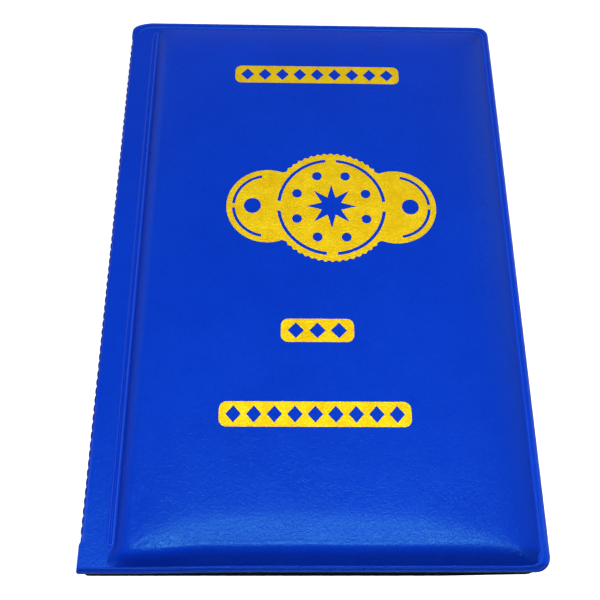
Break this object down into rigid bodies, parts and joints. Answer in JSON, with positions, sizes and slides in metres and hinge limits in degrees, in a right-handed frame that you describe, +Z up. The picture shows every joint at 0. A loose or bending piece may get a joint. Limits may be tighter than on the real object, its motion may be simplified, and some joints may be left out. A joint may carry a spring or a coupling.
{
  "type": "pocket coin album",
  "caption": "Closed coin album with padded vinyl covers on welded hinge ribs, a ribbed spine strip and hinged clear pocket pages.",
  "frame": {"origin": "under the middle of the closed album, on the surface it lies on", "axes": "+X from the spine to the fore edge, +Y towards the head of the album, +Z up out of the front cover"},
  "size_m": [0.122, 0.178, 0.0162],
  "materials": {
    "cover_vinyl": "satin",
    "liner_vinyl": "satin",
    "pad_foam": "matte",
    "board": "matte",
    "clear_film": "gloss",
    "gold_foil": "satin"
  },
  "bodies": {
    "binding": {"spine_skin": "cover_vinyl", "front_strip_skin": "cover_vinyl", "front_strip_liner": "liner_vinyl", "back_strip_skin": "cover_vinyl", "back_strip_liner": "liner_vinyl", "page_01_stub": "clear_film", "page_02_stub": "clear_film", "page_03_stub": "clear_film", "page_04_stub": "clear_film", "page_05_stub": "clear_film", "page_06_stub": "clear_film", "page_07_stub": "clear_film", "page_08_stub": "clear_film", "page_09_stub": "clear_film", "page_10_stub": "clear_film"},
    "front_cover": {"front_skin": "cover_vinyl", "front_foam": "pad_foam", "front_board": "board", "front_liner": "liner_vinyl", "front_foil_emblem": "gold_foil", "front_foil_band_top": "gold_foil", "front_foil_band_middle": "gold_foil", "front_foil_band_bottom": "gold_foil"},
    "back_cover": {"back_skin": "cover_vinyl", "back_foam": "pad_foam", "back_board": "board", "back_liner": "liner_vinyl"},
    "page_01": {"page_01_sheet": "clear_film", "page_01_pockets": "clear_film"},
    "page_02": {"page_02_sheet": "clear_film", "page_02_pockets": "clear_film"},
    "page_03": {"page_03_sheet": "clear_film", "page_03_pockets": "clear_film"},
    "page_04": {"page_04_sheet": "clear_film", "page_04_pockets": "clear_film"},
    "page_05": {"page_05_sheet": "clear_film", "page_05_pockets": "clear_film"},
    "page_06": {"page_06_sheet": "clear_film", "page_06_pockets": "clear_film"},
    "page_07": {"page_07_sheet": "clear_film", "page_07_pockets": "clear_film"},
    "page_08": {"page_08_sheet": "clear_film", "page_08_pockets": "clear_film"},
    "page_09": {"page_09_sheet": "clear_film", "page_09_pockets": "clear_film"},
    "page_10": {"page_10_sheet": "clear_film", "page_10_pockets": "clear_film"}
  },
  "joints": [
    {"name": "front_cover_hinge", "type": "hinge", "parent": "binding", "child": "front_cover", "pos_m": [-0.0526, 0, 0.01425], "axis": [0, -1, 0], "range_deg": [0, 165]},
    {"name": "back_cover_hinge", "type": "hinge", "parent": "binding", "child": "back_cover", "pos_m": [-0.0526, 0, 0.00175], "axis": [0, 1, 0], "range_deg": [0, 165]},
    {"name": "page_01_crease", "type": "hinge", "parent": "binding", "child": "page_01", "pos_m": [-0.0526, 0, 0.01425], "axis": [0, -1, 0], "range_deg": [0, 150.5]},
    {"name": "page_02_crease", "type": "hinge", "parent": "binding", "child": "page_02", "pos_m": [-0.0521, 0, 0.01375], "axis": [0, -1, 0], "range_deg": [0, 135.5]},
    {"name": "page_03_crease", "type": "hinge", "parent": "binding", "child": "page_03", "pos_m": [-0.0516, 0, 0.01325], "axis": [0, -1, 0], "range_deg": [0, 120.5]},
    {"name": "page_04_crease", "type": "hinge", "parent": "binding", "child": "page_04", "pos_m": [-0.0511, 0, 0.01275], "axis": [0, -1, 0], "range_deg": [0, 105.5]},
    {"name": "page_05_crease", "type": "hinge", "parent": "binding", "child": "page_05", "pos_m": [-0.0506, 0, 0.01225], "axis": [0, -1, 0], "range_deg": [0, 90.5]},
    {"name": "page_06_crease", "type": "hinge", "parent": "binding", "child": "page_06", "pos_m": [-0.0501, 0, 0.01175], "axis": [0, -1, 0], "range_deg": [0, 75.5]},
    {"name": "page_07_crease", "type": "hinge", "parent": "binding", "child": "page_07", "pos_m": [-0.0496, 0, 0.01125], "axis": [0, -1, 0], "range_deg": [0, 60.5]},
    {"name": "page_08_crease", "type": "hinge", "parent": "binding", "child": "page_08", "pos_m": [-0.0491, 0, 0.01075], "axis": [0, -1, 0], "range_deg": [0, 45.5]},
    {"name": "page_09_crease", "type": "hinge", "parent": "binding", "child": "page_09", "pos_m": [-0.0486, 0, 0.01025], "axis": [0, -1, 0], "range_deg": [0, 30.5]},
    {"name": "page_10_crease", "type": "hinge", "parent": "binding", "child": "page_10", "pos_m": [-0.0481, 0, 0.00975], "axis": [0, -1, 0], "range_deg": [0, 15.5]}
  ],
  "couplings": [
    {"joint": "page_01_crease", "follows": "front_cover_hinge", "ratio": 0.9091},
    {"joint": "page_02_crease", "follows": "front_cover_hinge", "ratio": 0.8182},
    {"joint": "page_03_crease", "follows": "front_cover_hinge", "ratio": 0.7273},
    {"joint": "page_04_crease", "follows": "front_cover_hinge", "ratio": 0.6364},
    {"joint": "page_05_crease", "follows": "front_cover_hinge", "ratio": 0.5455},
    {"joint": "page_06_crease", "follows": "front_cover_hinge", "ratio": 0.4545},
    {"joint": "page_07_crease", "follows": "front_cover_hinge", "ratio": 0.3636},
    {"joint": "page_08_crease", "follows": "front_cover_hinge", "ratio": 0.2727},
    {"joint": "page_09_crease", "follows": "front_cover_hinge", "ratio": 0.1818},
    {"joint": "page_10_crease", "follows": "front_cover_hinge", "ratio": 0.0909}
  ]
}
